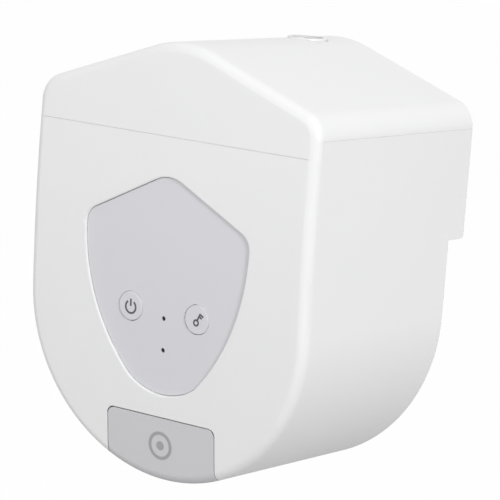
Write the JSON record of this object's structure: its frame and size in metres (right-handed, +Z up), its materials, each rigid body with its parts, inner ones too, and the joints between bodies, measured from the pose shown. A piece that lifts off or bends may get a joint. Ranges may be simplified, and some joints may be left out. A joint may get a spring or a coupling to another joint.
{
  "type": "motorised valve controller",
  "caption": "Wall-hung shield-shaped housing with a recessed key panel, a release button and a rear fork that turns a valve lever.",
  "frame": {"origin": "where the output axis meets the lower rear face, at the middle of the bracket screw pattern", "axes": "+Z up, -Y out of the front with its keys, +Y towards the valve, +X to the right seen from the front"},
  "size_m": [0.081, 0.0842, 0.1024],
  "materials": {
    "white_shell": "smooth satin",
    "panel_grey": "smooth satin",
    "button_grey": "fine matt",
    "key_grey": "smooth satin",
    "black_plastic": "matt",
    "cream_nylon": "semi matt",
    "board_green": "solder mask",
    "lamp_clear": "clear",
    "steel": "satin",
    "zinc": "zinc plated",
    "brass": "turned",
    "spring_steel": "drawn wire"
  },
  "bodies": {
    "housing": {"main_shell": "white_shell", "roof_cap": "white_shell", "rear_cover": "white_shell", "control_panel": "panel_grey", "pinhole_inserts": "black_plastic", "main_board": "board_green", "key_switches": "black_plastic", "status_lamp": "lamp_clear", "buzzer": "black_plastic", "radio_shield": "zinc", "board_connector": "cream_nylon", "chassis_plate": "steel", "reduction_case": "black_plastic", "motor": "zinc", "motor_terminals": "brass", "rear_bush": "brass", "front_bush": "brass", "limit_switches": "black_plastic", "release_spring": "spring_steel", "socket_rim": "white_shell", "socket_barrel": "black_plastic", "socket_pin": "zinc", "cover_screws": "zinc", "board_screws": "zinc", "chassis_screws": "zinc", "bracket_inserts": "brass"},
    "output": {"output_gear": "cream_nylon", "output_shaft": "steel", "position_cam": "black_plastic", "lever_fork": "black_plastic", "fork_screw": "zinc"},
    "drive": {"drive_pinion": "steel"},
    "release": {"release_button": "button_grey", "release_plunger": "steel", "plunger_clip": "spring_steel"},
    "clutch": {"clutch_gear": "cream_nylon"},
    "control_key": {"control_key": "key_grey"},
    "reset_key": {"reset_key": "key_grey"}
  },
  "joints": [
    {"name": "output_turn", "type": "hinge", "parent": "housing", "child": "output", "pos_m": [0, -0.005, 0], "axis": [0, 1, 0], "range_deg": [0, 90]},
    {"name": "drive_spin", "type": "hinge", "parent": "housing", "child": "drive", "pos_m": [0.012, -0.008, -0.026], "axis": [0, 1, 0], "range_deg": [0, 300]},
    {"name": "release_push", "type": "slide", "parent": "housing", "child": "release", "axis": [0, 1, 0], "range_m": [0, 0.0048], "stiffness_N_per_m": 500, "springref_m": -0.004, "deforming": ["release_spring"]},
    {"name": "clutch_spin", "type": "hinge", "parent": "release", "child": "clutch", "pos_m": [0, -0.0106, -0.026], "axis": [0, 1, 0], "range_deg": [-300, 0]},
    {"name": "control_press", "type": "slide", "parent": "housing", "child": "control_key", "axis": [0, 1, 0], "range_m": [0, 0.0006], "stiffness_N_per_m": 2000},
    {"name": "reset_press", "type": "slide", "parent": "housing", "child": "reset_key", "axis": [0, 1, 0], "range_m": [0, 0.0006], "stiffness_N_per_m": 2000}
  ],
  "couplings": [
    {"joint": "clutch_spin", "follows": "output_turn", "ratio": -3.3333},
    {"joint": "drive_spin", "follows": "output_turn", "ratio": 3.3333}
  ]
}
